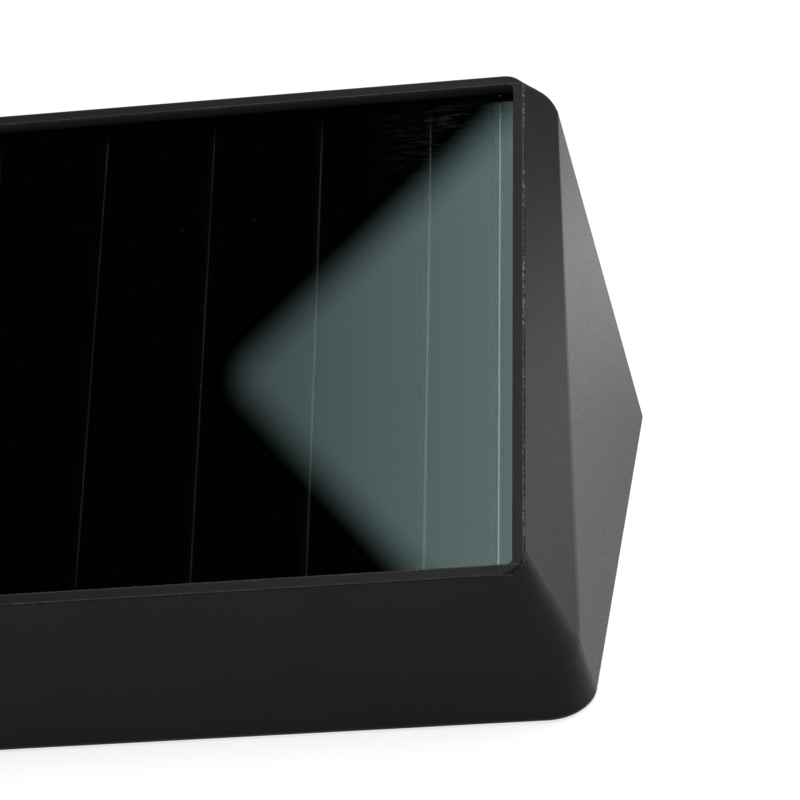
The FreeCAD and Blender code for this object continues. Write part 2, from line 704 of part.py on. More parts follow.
def make_panel():
    """The thin-film module: glass, scribed film, ribbons, backing and the sealant that beds it."""
    length = f"({RECESS_LENGTH} - 2*panel_gap)"
    width = f"({RECESS_WIDTH} - 2*panel_gap)"
    glass_under = "(-panel_recess - glass_thickness)"
    film_under = f"({glass_under} - film_thickness)"
    ribbon_under = f"({film_under} - ribbon_thickness)"
    backing_under = f"({ribbon_under} - backing_thickness)"
    soft = "recess_corner_radius/2"
    glass = panel_plate("solar_glass", length, width, "glass_thickness", soft, glass_under)
    subpart("solar_glass", glass)

    last_line = half_glass_length() - size("edge_strip")
    full_lines = int(last_line / size("cell_pitch"))
    strips = []
    for side in ("-", ""):
        for number in range(full_lines + 2):
            inner = f"({number}*cell_pitch)"
            outer = f"({number + 1}*cell_pitch)"
            if number == full_lines:
                outer = f"({length}/2 - edge_strip)"
            if number == full_lines + 1:
                inner = f"({length}/2 - edge_strip)"
                outer = f"({length}/2 + scribe_width/2)"
            strip_width = f"({outer} - {inner} - scribe_width)"
            start = f"({inner} + scribe_width/2)" if not side else f"(-{outer} + scribe_width/2)"
            down = f"(rim_width/2 + {width}/2)"
            strip = block(f"strip_{tag_of(side)}_{number}", (strip_width, width, "film_thickness"),
                          (start, panel_y(down, film_under), panel_z(down, film_under)), SLOPE)
            strips.append(strip)
    subpart("solar_cells", group("solar_cells", *strips))

    ribbons = []
    for side in ("-", ""):
        x = f"({side}({length}/2 - ribbon_inset))"
        ribbon_length = f"({width} - 2*ribbon_margin)"
        down = f"(rim_width/2 + {ribbon_length}/2)"
        corner = (f"{x} - ribbon_width/2", panel_y(down, ribbon_under), panel_z(down, ribbon_under))
        ribbons.append(block(f"ribbon_{tag_of(side)}", ("ribbon_width", ribbon_length, "ribbon_thickness"),
                             corner, SLOPE))
    subpart("panel_ribbons", group("panel_ribbons", *ribbons))

    backing = panel_plate("backing_plate", length, width, "backing_thickness", soft, backing_under)
    openings = []
    for side in ("-", ""):
        x = f"({side}({length}/2 - ribbon_inset))"
        openings.append(rod(f"solder_opening_{tag_of(side)}", "lead_hole_radius", "4*backing_thickness + 2",
                            (x, LEAD_Y, f"{LEAD_Z} - 1")))
    subpart("cell_backing", cut("cell_backing", backing, *openings))

    sealant_under = f"({backing_under} - sealant_thickness)"
    bead = panel_plate("bead_outside", length, width, "sealant_thickness", soft, sealant_under)
    bead_hole = panel_plate("bead_inside", f"({length} - 2*sealant_width)", f"({width} - 2*sealant_width)",
                            "3*sealant_thickness", soft, f"({sealant_under} - sealant_thickness)")
    subpart("panel_sealant", cut("panel_sealant", bead, bead_hole))


def make_diffuser():
    """The frosted lens in the base, its gasket and the white reflector over it."""
    lens_length = "(window_length - 2*window_play)"
    lens_width = "(window_width - 2*window_play)"
    middle_y = "-window_depth"
    plug = plate("diffuser_plug", lens_length, lens_width, f"({FLANGE_TOP} - diffuser_inset)",
                 "window_corner_radius - window_play", ("0", middle_y, "diffuser_inset"))
    flange = plate("diffuser_flange_plate", FLANGE_LENGTH, FLANGE_WIDTH, "diffuser_thickness",
                   "window_corner_radius", ("0", middle_y, FLANGE_BASE))
    hollow = plate("diffuser_hollow", f"({lens_length} - 2*diffuser_thickness)",
                   f"({lens_width} - 2*diffuser_thickness)", FLANGE_TOP, "window_corner_radius/2",
                   ("0", middle_y, "(diffuser_inset + diffuser_thickness)"))
    subpart("diffuser", cut("diffuser", join("diffuser_moulding", plug, flange), hollow))

    seal = plate("diffuser_seal_plate", FLANGE_LENGTH, FLANGE_WIDTH, "diffuser_gasket_thickness",
                 "window_corner_radius", ("0", middle_y, "wall"))
    seal_hole = plate("diffuser_seal_hole", "window_length", "window_width",
                      "3*diffuser_gasket_thickness", "window_corner_radius",
                      ("0", middle_y, "wall - diffuser_gasket_thickness"))
    subpart("diffuser_gasket", cut("diffuser_gasket", seal, seal_hole))

    def tray(name, length, width, low, high):
        """A four-sided taper that narrows upward."""
        rear = f"(-window_depth + ({width})/2)"
        low_section = section(f"{name}_low", f"({length})/2", f"({length})/2", width, rear, low)
        narrow_rear = f"(-window_depth + ({width})/2 - reflector_slant)"
        high_section = section(f"{name}_high", f"({length})/2 - reflector_slant",
                               f"({length})/2 - reflector_slant", f"({width}) - 2*reflector_slant",
                               narrow_rear, high)
        return loft(name, low_section, high_section)

    outside = tray("reflector_outside", FLANGE_LENGTH, FLANGE_WIDTH, FLANGE_TOP, "board_height")
    inside = tray("reflector_inside", f"({FLANGE_LENGTH} - 2*reflector_wall)",
                  f"({FLANGE_WIDTH} - 2*reflector_wall)", f"({FLANGE_TOP} - 0.01)",
                  "(board_height - reflector_top)")
    holes = []
    for number, x in enumerate(chip_places()):
        sides = ("chip_length + 2*chip_play", "chip_width + 2*chip_play", "3*reflector_top")
        holes.append(centred_block(f"chip_hole_{number}", sides,
                                   (x, middle_y, "(board_height - 2*reflector_top)")))
    subpart("reflector", cut("reflector", outside, inside, *holes))


def chip_places():
    """X of each lamp chip along the board."""
    return [f"({number - (CHIP_COUNT - 1) / 2}*chip_pitch)" for number in range(CHIP_COUNT)]


def make_board():
    """The lamp board with its chips, its control parts and the two screws that hold it."""
    middle_x = "((board_right - board_left)/2)"
    middle_y = "-window_depth"
    panel_board = plate("board_plate", "(board_left + board_right)", "board_width", "board_thickness",
                        "board_corner_radius", (middle_x, middle_y, "board_height"))
    holes = [rod(f"board_hole_{tag_of(side)}", "board_screw_radius + 0.15", "3*board_thickness",
                 (f"({side}board_screw_x)", middle_y, "board_height - board_thickness"))
             for side in ("-", "")]
    subpart("led_board", cut("led_board", panel_board, *holes))

    chips = [centred_block(f"chip_{number}", ("chip_length", "chip_width", "chip_height"),
                           (x, middle_y, "board_height - chip_height"))
             for number, x in enumerate(chip_places())]
    subpart("led_chips", group("led_chips", *chips))

    subpart("control_chip", plate("control_chip_body", "controller_length", "controller_width",
                                  "controller_height", "controller_width/20",
                                  ("-controller_x", middle_y, BOARD_TOP)))
    inductor_place = ("inductor_x", middle_y, BOARD_TOP)
    core = rod("inductor_core", "inductor_radius", "inductor_height", inductor_place)
    winding_gap = cut("inductor_gap",
                      rod("gap_outside", "1.1*inductor_radius", "inductor_height/2",
                          ("inductor_x", middle_y, f"{BOARD_TOP} + inductor_height/4")),
                      rod("gap_inside", "inductor_waist", "inductor_height", inductor_place))
    subpart("inductor", cut("inductor", core, winding_gap))
    small = []
    for number, (column, row) in enumerate(((-5, 1), (-5, -1), (-1, 1), (3, 1), (3, -1), (5, 0))):
        middle = (f"{column}*small_part_grid", f"{middle_y} + {row}*small_part_grid", BOARD_TOP)
        small.append(centred_block(f"small_part_{number}",
                                   ("small_part_length", "small_part_width", "small_part_height"), middle))
    subpart("small_parts", group("small_parts", *small))

    screws = [screw(f"board_screw_{tag_of(side)}", (f"({side}board_screw_x)", middle_y, BOARD_TOP), "up",
                    "board_screw_radius", "board_screw_length", "board_head_radius", "board_head_height")
              for side in ("-", "")]
    subpart("board_screws", group("board_screws", *screws))


def make_battery():
    """The rechargeable cell in its holder on the rear cover, with its contacts."""
    depth = f"(-{CELL_DEPTH})"
    left_wall = f"(-{HOLDER_INNER}/2)"
    cell_left = f"({left_wall} + contact_thickness + contact_spring_length)"
    can = rod("cell_can", "cell_radius", "cell_length", (cell_left, depth, "cell_height"), "right")
    cap = rod("cell_cap", "cell_cap_radius", "cell_cap_length + 0.1",
              (f"({cell_left} + cell_length - 0.1)", depth, "cell_height"), "right")
    subpart("battery_cell", join("battery_cell", can, cap))

    arm_depth = f"({CELL_DEPTH} - cover_thickness + 0.45*cell_radius)"
    outside = block("holder_outside", (f"({HOLDER_INNER} + 2*holder_end)", arm_depth, f"2*{HOLDER_HALF}"),
                    (f"({left_wall} - holder_end)", f"(-cover_thickness - {arm_depth})",
                     f"cell_height - {HOLDER_HALF}"))
    bed = rod("holder_bed", "cell_radius + cell_play", HOLDER_INNER, (left_wall, depth, "cell_height"),
              "right")
    mouth = block("holder_mouth", (HOLDER_INNER, "cell_radius", "1.7*cell_radius"),
                  (left_wall, f"({depth} - cell_radius)", "cell_height - 0.85*cell_radius"))
    contact_half = "(contact_width/2 + 0.1)"
    slots = []
    for number, x in enumerate((left_wall, f"(-{left_wall} - contact_thickness)")):
        slots.append(block(f"contact_slot_{number}",
                           ("contact_thickness", f"2*{contact_half}", f"{HOLDER_HALF} + {contact_half} + 1"),
                           (x, f"({depth} - {contact_half})", f"cell_height - {contact_half}")))
    stake_holes = [rod(f"stake_hole_{tag_of(side)}", "stake_radius + 0.05", "2*holder_floor",
                       (f"({side}stake_spacing/2)", "-cover_thickness + 0.1", "cell_height"), "forward")
                   for side in ("-", "")]
    subpart("battery_holder", cut("battery_holder", outside, bed, mouth, *slots, *stake_holes))

    right_slot = f"(-{left_wall} - contact_thickness)"
    for label, x in (("negative_contact", left_wall), ("positive_contact", right_slot)):
        face = block(f"{label}_face", ("contact_thickness", "contact_width", "contact_width"),
                     (x, f"({depth} - contact_width/2)", "cell_height - contact_width/2"))
        tab = block(f"{label}_tab", ("contact_thickness", "contact_width/3",
                                     f"{HOLDER_HALF} + contact_tab - contact_width/2 + 0.1"),
                    (x, f"({depth} - contact_width/6)", "cell_height + contact_width/2 - 0.1"))
        subpart(label, join(label, face, tab))

    spring = coil("contact_spring", "contact_spring_radius", "contact_wire_radius",
                  "contact_spring_length", SPRING_TURNS)
    spring.Placement = Placement(Vector(0, 0, 0), Rotation(Vector(0, 1, 0), 90))
    bind(spring, "Placement.Base.x", f"({left_wall} + contact_thickness + contact_wire_radius)")
    bind(spring, "Placement.Base.y", depth)
    bind(spring, "Placement.Base.z", "cell_height - mount_height")
    subpart("contact_spring", spring)


def make_switch():
    """The push button in the base with its seal, plunger, return spring and switch."""
    x, y = "button_x", "-window_depth"
    seat = "(wall + button_seal_thickness + button_seat_gap)"
    flange_top = f"({seat} + button_flange_thickness)"
    switch_low = "(board_height - switch_body_height)"
    shaft = rod("button_shaft", "button_radius", f"({flange_top} - button_inset)", (x, y, "button_inset"))
    flange = rod("button_flange_disc", "button_radius + button_flange", "button_flange_thickness",
                 (x, y, seat))
    moulded = join("button_blank", shaft, flange)
    doc.recompute()
    low = size("button_inset") - size("mount_height")
    edge_radius = size("button_edge_radius")
    rim = [edge for edge in moulded.Shape.Edges if all(abs(v.Z - low) < 0.01 for v in edge.Vertexes)]
    rows = [(edge, edge_radius, edge_radius) for edge in rim]
    subpart("switch_button", rounded("switch_button", moulded, rows))

    seal = rod("seal_outside", "button_radius + button_clearance + button_seal_width",
               "button_seal_thickness", (x, y, "wall"))
    seal_hole = rod("seal_inside", "button_radius + button_clearance", "3*button_seal_thickness",
                    (x, y, "wall - button_seal_thickness"))
    subpart("button_seal", cut("button_seal", seal, seal_hole))

    plunger_length = f"({switch_low} + plunger_overlap_length - {flange_top})"
    subpart("switch_plunger", rod("switch_plunger", "plunger_radius", plunger_length, (x, y, flange_top)))
    body = plate("switch_case", "switch_size", "switch_size", "switch_body_height", "0.5", (x, y, switch_low))
    bore = rod("switch_bore", "plunger_radius + plunger_clearance", "switch_bore_depth + 1",
               (x, y, f"({switch_low} - 1)"))
    subpart("switch_body", cut("switch_body", body, bore))

    gap = "button_seat_gap"
    spring = coil("switch_spring", "switch_spring_radius", "switch_wire_radius",
                  f"({switch_low} - {flange_top} - 2*{gap})", SPRING_TURNS)
    place(spring, x, y, f"({flange_top} + {gap} + switch_wire_radius)")
    subpart("switch_spring", spring)


def make_leads():
    """Two leads from the solar panel and two from the battery, down to the board."""
    angle = math.radians(size("panel_angle"))
    bend = size("lead_bend")
    radius = size("lead_radius")
    board_top = size("board_height") + size("board_thickness")
    depth = sum(size(layer) for layer in ("panel_recess", "glass_thickness", "film_thickness",
                                          "ribbon_thickness", "backing_thickness", "sealant_thickness"))
    under_ribbon = size("backing_thickness") + size("sealant_thickness")
    y_top = -size("rim_setback") - size("panel_lead_drop") * math.cos(angle) + depth * math.sin(angle)
    z_top = (tab_top() + size("roof_room") - size("panel_lead_drop") * math.sin(angle)
             - depth * math.cos(angle) + under_ribbon / math.cos(angle) - radius * math.tan(angle))
    step = size("lead_step")
    for side, label in ((1, "panel_lead_positive"), (-1, "panel_lead_negative")):
        x = side * (half_glass_length() - size("ribbon_inset"))
        middle = (z_top + board_top) / 2
        lead(label, [(x, y_top, z_top), (x, y_top, middle), (x - side * step, y_top + step, middle - step),
                     (x - side * step, y_top + step, board_top)], radius, bend / 2)

    cell_depth = sum(size(name) for name in ("cover_thickness", "holder_floor", "cell_play", "cell_radius"))
    tab_front = -cell_depth - size("contact_width") / 6
    height = tab_top() - 2 * radius
    landing = -size("window_depth") + size("board_width") / 2 - step
    for side, label in ((1, "battery_lead_positive"), (-1, "battery_lead_negative")):
        x = side * (holder_inner_length() - size("contact_thickness")) / 2
        lead(label, [(x, tab_front, height), (x, tab_front - size("lead_reach"), height),
                     (x, landing, board_top + size("lead_drop")), (x, landing, board_top)], radius, bend)


make_housing()
make_rear_cover()
make_cover_seal_and_screws()
make_panel()
make_diffuser()
make_board()
make_battery()
make_switch()
make_leads()
doc.recompute()

for item in doc.Objects:
    if "Invalid" in item.State or "Error" in item.State:
        raise RuntimeError(f"{item.Label} failed: {item.State}")

os.makedirs("parts", exist_ok=True)
for label, item in PARTS.items():
    shape = item.Shape
    if shape.isNull() or not shape.isValid() or not shape.Solids:
        raise RuntimeError(f"{label} has no valid solid")
    shape.exportStep(f"parts/{label}.step")
    print(f"{label}: {len(shape.Solids)} solid(s), {shape.Volume:.1f} mm3")
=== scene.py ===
import math

import bpy
from mathutils import Euler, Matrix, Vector

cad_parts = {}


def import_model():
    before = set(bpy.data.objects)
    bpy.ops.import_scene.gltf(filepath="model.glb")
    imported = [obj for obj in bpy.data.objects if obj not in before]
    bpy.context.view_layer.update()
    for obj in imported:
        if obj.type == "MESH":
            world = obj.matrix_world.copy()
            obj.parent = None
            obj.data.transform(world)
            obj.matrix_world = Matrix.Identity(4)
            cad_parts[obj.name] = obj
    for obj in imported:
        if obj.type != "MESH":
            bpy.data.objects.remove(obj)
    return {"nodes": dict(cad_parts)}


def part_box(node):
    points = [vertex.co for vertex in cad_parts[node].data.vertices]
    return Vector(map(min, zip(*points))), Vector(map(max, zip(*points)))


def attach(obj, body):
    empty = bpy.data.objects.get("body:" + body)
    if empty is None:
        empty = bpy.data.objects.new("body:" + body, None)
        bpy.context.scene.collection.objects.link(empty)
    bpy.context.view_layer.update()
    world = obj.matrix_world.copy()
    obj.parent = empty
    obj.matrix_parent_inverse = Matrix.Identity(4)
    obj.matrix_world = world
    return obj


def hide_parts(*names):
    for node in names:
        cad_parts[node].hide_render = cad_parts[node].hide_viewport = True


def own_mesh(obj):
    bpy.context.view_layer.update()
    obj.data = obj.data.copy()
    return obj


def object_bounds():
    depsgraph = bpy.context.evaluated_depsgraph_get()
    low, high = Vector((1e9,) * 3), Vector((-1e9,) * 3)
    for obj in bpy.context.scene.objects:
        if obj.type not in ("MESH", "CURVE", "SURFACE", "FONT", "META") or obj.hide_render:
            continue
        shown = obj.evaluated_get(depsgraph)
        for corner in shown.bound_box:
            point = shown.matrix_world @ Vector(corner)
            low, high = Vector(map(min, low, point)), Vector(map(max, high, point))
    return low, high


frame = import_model()
nodes = frame["nodes"]
cad_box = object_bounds()
scene = bpy.context.scene

MM = 0.001

# ---------------------------------------------------------------- sizes
# Read from the frame
BASE_HEIGHT = cad_box[0][2]
HALF_LENGTH = cad_box[1][0]
HALF_DEPTH = -cad_box[0][1] / 2.0
GLASS_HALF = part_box("solar_glass")[1][0]

# The sloping top: its rim, and the panel sunk in it
PANEL_ANGLE = math.radians(27.5)
PANEL_NORMAL = (0.0, -math.sin(PANEL_ANGLE), math.cos(PANEL_ANGLE))
PANEL_UP = (0.0, math.cos(PANEL_ANGLE), math.sin(PANEL_ANGLE))
RIM_REAR = Vector((0.0, -2.4 * MM, 19.5 * MM))
RIM_LEVEL = Vector(PANEL_NORMAL).dot(RIM_REAR)
RIM_REAR_UP = Vector(PANEL_UP).dot(RIM_REAR)
RIM_HALF = GLASS_HALF + 1.2 * MM
RIM_WIDTH = 51.1 * MM
RIM_LAND = 0.9 * MM
PANEL_RECESS = 1.3 * MM
CELL_PITCH = 10.0 * MM
EDGE_STRIP = 1.32 * MM
BORDER_LINE = 2.6 * MM
BORDER_LINE_WIDTH = 0.1 * MM

# ---------------------------------------------------------------- camera
CAMERA_PLACE = (0.08211, -0.29022, 0.15911)
CAMERA_TURN = (59.06397, 7.59057, 5.14675)
CAMERA_LENS = 159.9
CAMERA_SENSOR = 36.0

camera_data = bpy.data.cameras.new("camera")
camera_data.sensor_width = CAMERA_SENSOR
camera_data.lens = CAMERA_LENS
camera_data.clip_start = 0.01
camera_data.clip_end = 20.0
camera = bpy.data.objects.new("camera", camera_data)
camera.location = CAMERA_PLACE
camera.rotation_euler = Euler([math.radians(turn) for turn in CAMERA_TURN])
scene.collection.objects.link(camera)
scene.camera = camera


# ---------------------------------------------------------------- node helpers
class Tree:
    """Adds and links shader nodes in one material or world."""

    def __init__(self, owner):
        owner.use_nodes = True
        self.tree = owner.node_tree
        self.tree.nodes.clear()

    def add(self, kind, inputs=None, **settings):
        node = self.tree.nodes.new(kind)
        for name, value in settings.items():
            setattr(node, name, value)
        for name, value in (inputs or {}).items():
            self.put(node.inputs[name], value)
        return node

    def put(self, socket, value):
        if isinstance(value, bpy.types.NodeSocket):
            self.tree.links.new(value, socket)
        elif isinstance(value, bpy.types.Node):
            self.tree.links.new(value.outputs[0], socket)
        else:
            socket.default_value = value

    def math(self, operation, a, b=0.0, clamp=False):
        node = self.add("ShaderNodeMath", operation=operation, use_clamp=clamp)
        self.put(node.inputs[0], a)
        self.put(node.inputs[1], b)
        return node.outputs[0]

    def times(self, first, *others):
        """The product of all the values."""
        for other in others:
            first = self.math("MULTIPLY", first, other)
        return first

    def most(self, first, *others):
        """The greatest of all the values."""
        for other in others:
            first = self.math("MAXIMUM", first, other)
        return first

    def beyond(self, value, limit):
        """How far the value lies past the limit on either side of zero, and 0 within it."""
        return self.most(self.math("SUBTRACT", self.math("ABSOLUTE", value), limit), 0.0)

    def distance(self, a, b):
        """The length of two parts at right angles."""
        return self.math("SQRT", self.math("ADD", self.math("POWER", a, 2.0), self.math("POWER", b, 2.0)))

    def place(self):
        return self.add("ShaderNodeTexCoord").outputs["Object"]

    def axes(self):
        """The three object coordinates."""
        return self.add("ShaderNodeSeparateXYZ", {"Vector": self.place()}).outputs

    def along(self, direction):
        """Object coordinate along a fixed direction."""
        node = self.add("ShaderNodeVectorMath", operation="DOT_PRODUCT")
        self.put(node.inputs[0], self.place())
        node.inputs[1].default_value = direction
        return node.outputs["Value"]

    def side(self):
        """Distance from the middle of the housing's length, the same to left and right."""
        return self.math("ABSOLUTE", self.axes()["X"])

    def level(self):
        """Height above the rim's plane."""
        return self.math("SUBTRACT", self.along(PANEL_NORMAL), RIM_LEVEL)

    def up(self):
        """Distance up the slope from the rim's rear edge, so negative on the panel."""
        return self.math("SUBTRACT", self.along(PANEL_UP), RIM_REAR_UP)

    def noise(self, scale, detail=2.0, roughness=0.5, place=None):
        """Three-dimensional noise in the object's own metres."""
        node = self.add("ShaderNodeTexNoise")
        node.inputs["Scale"].default_value = scale
        node.inputs["Detail"].default_value = detail
        node.inputs["Roughness"].default_value = roughness
        self.put(node.inputs["Vector"], place or self.place())
        return node.outputs["Fac"]

    def spread(self, value, low, high, to_low=0.0, to_high=1.0, shape="LINEAR"):
        """Maps low..high to to_low..to_high, and stops at both ends."""
        node = self.add("ShaderNodeMapRange", clamp=True, interpolation_type=shape)
        for name, number in zip(("Value", "From Min", "From Max", "To Min", "To Max"),
                                (value, low, high, to_low, to_high)):
            self.put(node.inputs[name], number)
        return node.outputs[0]

    def band(self, value, middle, half, soft):
        """1 within half of the middle, falling to 0 over soft."""
        away = self.math("ABSOLUTE", self.math("SUBTRACT", value, middle))
        return self.spread(away, half, half + soft, 1.0, 0.0)

    def mix(self, factor, a, b):
        """A blend of two colours."""
        node = self.add("ShaderNodeMix", data_type="RGBA")
        for name, value in (("Factor_Float", factor), ("A_Color", a), ("B_Color", b)):
            self.put(next(socket for socket in node.inputs if socket.identifier == name), value)
        return next(socket for socket in node.outputs if socket.identifier == "Result_Color")

    def blend(self, factor, a, b):
        """A blend of two shaders."""
        node = self.add("ShaderNodeMixShader")
        for socket, value in zip(node.inputs, (factor, a, b)):
            self.put(socket, value)
        return node

    def bump(self, height, distance, strength=1.0, normal=None):
        node = self.add("ShaderNodeBump")
        node.inputs["Distance"].default_value = distance
        node.inputs["Strength"].default_value = strength
        self.put(node.inputs["Height"], height)
        if normal is not None:
            self.put(node.inputs["Normal"], normal)
        return node.outputs["Normal"]

    def surface(self, shader):
        out = self.add("ShaderNodeOutputMaterial")
        self.tree.links.new(shader.outputs[0], out.inputs["Surface"])


def colour_of(red, green, blue):
    return (red, green, blue, 1.0)


def grey(value):
    return colour_of(value, value, value)


def material(name):
    found = bpy.data.materials.new(name)
    return found, Tree(found)


def principled(tree, colour, roughness, normal=None):
    node = tree.add("ShaderNodeBsdfPrincipled", {"Base Color": colour, "Roughness": roughness})
    if normal is not None:
        tree.put(node.inputs["Normal"], normal)
    return node


def assign(finish, *node_names):
    for node_name in node_names:
        nodes[node_name].data.materials.clear()
        nodes[node_name].data.materials.append(finish)


# ---------------------------------------------------------------- black plastics
PLASTIC_SPECULAR = 0.11
GRAIN_SCALE = 5200.0
GRAIN_DEPTH = 0.02 * MM
DUST_SCALE = 2400.0
DUST_COLOUR = colour_of(0.09, 0.085, 0.08)
# Painted light: the rim's flat land is the same plastic, painted paler as if lit.
LAND_PAINTED_LIGHT_COLOUR = colour_of(0.030, 0.0295, 0.031)
# Painted light: the recess walls are the same plastic, painted paler as if lit.
WALL_PAINTED_LIGHT_COLOUR = grey(0.13)
# Pale colour of the rim's worn lines: partly wear, partly painted highlight.
WEAR_AND_HIGHLIGHT_COLOUR = colour_of(0.34, 0.32, 0.33)

# The worn lines, which are partly a painted highlight along the land's edges, lie this far in from the
# edges of the rim's land, and fade over this much
WEAR_AND_HIGHLIGHT_INSET = 0.06 * MM
WEAR_AND_HIGHLIGHT_INNER = 0.97 * MM
WEAR_AND_HIGHLIGHT_FADE = 0.06 * MM


def rim_wear_and_highlight(tree):
    """A pale line on the rim, partly rubbed wear and partly a painted highlight along the land's edges:
    speckled along its two ends, thin and even front and rear.
    """
    up = tree.up()
    on_top = tree.band(tree.level(), -0.1 * MM, 0.2 * MM, 0.08 * MM)
    ends = tree.band(tree.side(), RIM_HALF - WEAR_AND_HIGHLIGHT_INSET, 0.08 * MM, WEAR_AND_HIGHLIGHT_FADE)
    front_and_rear = tree.most(tree.band(up, -RIM_WIDTH + WEAR_AND_HIGHLIGHT_INSET, 0.04 * MM, 0.05 * MM),
                               tree.band(up, -WEAR_AND_HIGHLIGHT_INSET, 0.06 * MM, WEAR_AND_HIGHLIGHT_FADE),
                               tree.band(up, -RIM_WIDTH + WEAR_AND_HIGHLIGHT_INNER, 0.02 * MM, WEAR_AND_HIGHLIGHT_FADE),
                               tree.band(up, -WEAR_AND_HIGHLIGHT_INNER, 0.02 * MM, WEAR_AND_HIGHLIGHT_FADE))
    fine = tree.spread(tree.noise(3600.0, 2.0, 0.6), 0.47, 0.6)
    patches = tree.spread(tree.noise(170.0, 2.0, 0.6), 0.4, 0.6, 0.2, 1.0)
    specks = tree.math("ADD", tree.times(fine, patches, 0.9), 0.1)
    # Speckled line along the ends: partly wear specks, partly painted highlight.
    speckled = tree.times(ends, 0.8, specks)
    # Thin even lines front and rear: a painted highlight along the land's outer and inner edges.
    drawn = tree.times(front_and_rear, 0.45, tree.spread(specks, 0.1, 1.0, 0.3, 0.8))
    return tree.times(tree.most(speckled, drawn), on_top)


def rim_colour(tree, colour):
    """The plastic's colour, with painted light that makes the recess walls and the flat land paler, and
    the worn lines that are partly a painted highlight.
    """
    level = tree.level()
    inside = tree.times(
        tree.spread(tree.side(), RIM_HALF - RIM_LAND, RIM_HALF - RIM_LAND + 0.05 * MM, 1.0, 0.0),
        tree.band(tree.up(), -RIM_WIDTH / 2.0, RIM_WIDTH / 2.0 - RIM_LAND, 0.05 * MM))
    # Painted light on the recess walls, full near their top and fading to a quarter at their foot.
    wall = tree.times(tree.spread(level, -PANEL_RECESS, -0.05 * MM, 0.25, 1.0),
                      tree.spread(level, -PANEL_RECESS - 0.4 * MM, -PANEL_RECESS - 0.1 * MM))
    # Painted light on the rim's flat land.
    land = tree.spread(level, -0.06 * MM, -0.02 * MM)
    colour = tree.mix(tree.times(inside, wall), colour, WALL_PAINTED_LIGHT_COLOUR)
    colour = tree.mix(land, colour, LAND_PAINTED_LIGHT_COLOUR)
    # The worn lines with their painted highlight go on top.
    return tree.mix(rim_wear_and_highlight(tree), colour, WEAR_AND_HIGHLIGHT_COLOUR)


def grained_black(name, base, rough, has_rim=False):
    """Black moulded plastic with a spark-eroded grain, faint cloudiness and stray dust."""
    made, tree = material(name)
    grain = tree.noise(GRAIN_SCALE, 2.0, 0.55)
    pits = tree.noise(GRAIN_SCALE * 2.6, 2.0, 0.5)
    cloud = tree.spread(tree.noise(140.0, 3.0, 0.55), 0.3, 0.7)
    dust = tree.spread(tree.noise(DUST_SCALE, 1.0, 0.5), 0.74, 0.78)
    colour = tree.mix(cloud, grey(base * 0.8), grey(base * 1.25))
    colour = tree.mix(tree.times(dust, 0.5), colour, DUST_COLOUR)
    if has_rim:
        colour = rim_colour(tree, colour)
    roughness = tree.spread(grain, 0.3, 0.7, rough - 0.05, rough + 0.08)
    normal = tree.bump(grain, GRAIN_DEPTH, 0.55, tree.bump(pits, GRAIN_DEPTH * 0.4, 0.4))
    shader = principled(tree, colour, roughness, normal)
    shader.inputs["Specular IOR Level"].default_value = PLASTIC_SPECULAR
    tree.surface(shader)
    return made


assign(grained_black("housing_black", 0.013, 0.34, has_rim=True), "housing")
assign(grained_black("cover_black", 0.009, 0.42), "rear_cover", "battery_holder")


# ---------------------------------------------------------------- plain finishes
TONE_SCALE = 400.0
TONE_CHANGE = 0.15
FINE_SCALE = 4800.0
FINE_DEPTH = 0.01 * MM

# Name, colour, roughness, metallic, and the nodes that have it
PLAIN_FINISHES = (
    ("black_rubber", (0.015, 0.015, 0.016), 0.7, 0.0, ("rear_gasket", "diffuser_gasket", "button_seal")),
    ("screw_zinc", (0.55, 0.56, 0.58), 0.35, 1.0, ("cover_screws", "board_screws")),
    ("reflector_white", (0.85, 0.85, 0.84), 0.3, 0.0, ("reflector",)),
    ("board_white", (0.78, 0.79, 0.77), 0.4, 0.0, ("led_board",)),
    ("chip_phosphor", (0.85, 0.65, 0.15), 0.35, 0.0, ("led_chips",)),
    ("chip_epoxy", (0.02, 0.02, 0.02), 0.5, 0.0, ("control_chip",)),
    ("ferrite", (0.05, 0.045, 0.045), 0.6, 0.0, ("inductor",)),
    ("ceramic", (0.4, 0.3, 0.2), 0.4, 0.0, ("small_parts",)),
    ("cell_sleeve", (0.05, 0.25, 0.12), 0.3, 0.0, ("battery_cell",)),
    ("nickel", (0.62, 0.6, 0.57), 0.3, 1.0,
     ("negative_contact", "positive_contact", "contact_spring", "switch_spring")),
    ("red_insulation", (0.5, 0.02, 0.02), 0.4, 0.0, ("panel_lead_positive", "battery_lead_positive")),
    ("black_insulation", (0.02, 0.02, 0.02), 0.4, 0.0, ("panel_lead_negative", "battery_lead_negative")),
    ("switch_plastic", (0.03, 0.03, 0.03), 0.45, 0.0, ("switch_body",)),
    ("plunger_acetal", (0.7, 0.68, 0.62), 0.4, 0.0, ("switch_plunger",)),
    ("button_black", (0.02, 0.02, 0.021), 0.45, 0.0, ("switch_button",)),
    ("ribbon_tin", (0.55, 0.55, 0.56), 0.35, 1.0, ("panel_ribbons",)),
    ("sealant", (0.03, 0.03, 0.03), 0.5, 0.0, ("panel_sealant",)),
)


def plain(name, colour, rough, metallic):
    """A plain finish with a faint change of tone and a fine grain."""
    made, tree = material(name)
    tone = tree.spread(tree.noise(TONE_SCALE, 3.0), 0.3, 0.7)
    dark = colour_of(*(part * (1.0 - TONE_CHANGE) for part in colour))
    pale = colour_of(*(min(1.0, part * (1.0 + TONE_CHANGE)) for part in colour))
    roughness = tree.spread(tone, 0.0, 1.0, rough * 0.85, rough * 1.15)
    normal = tree.bump(tree.noise(FINE_SCALE, 2.0), FINE_DEPTH, 0.5)
    shader = principled(tree, tree.mix(tone, dark, pale), roughness, normal)
    shader.inputs["Metallic"].default_value = metallic
    tree.surface(shader)
    return made


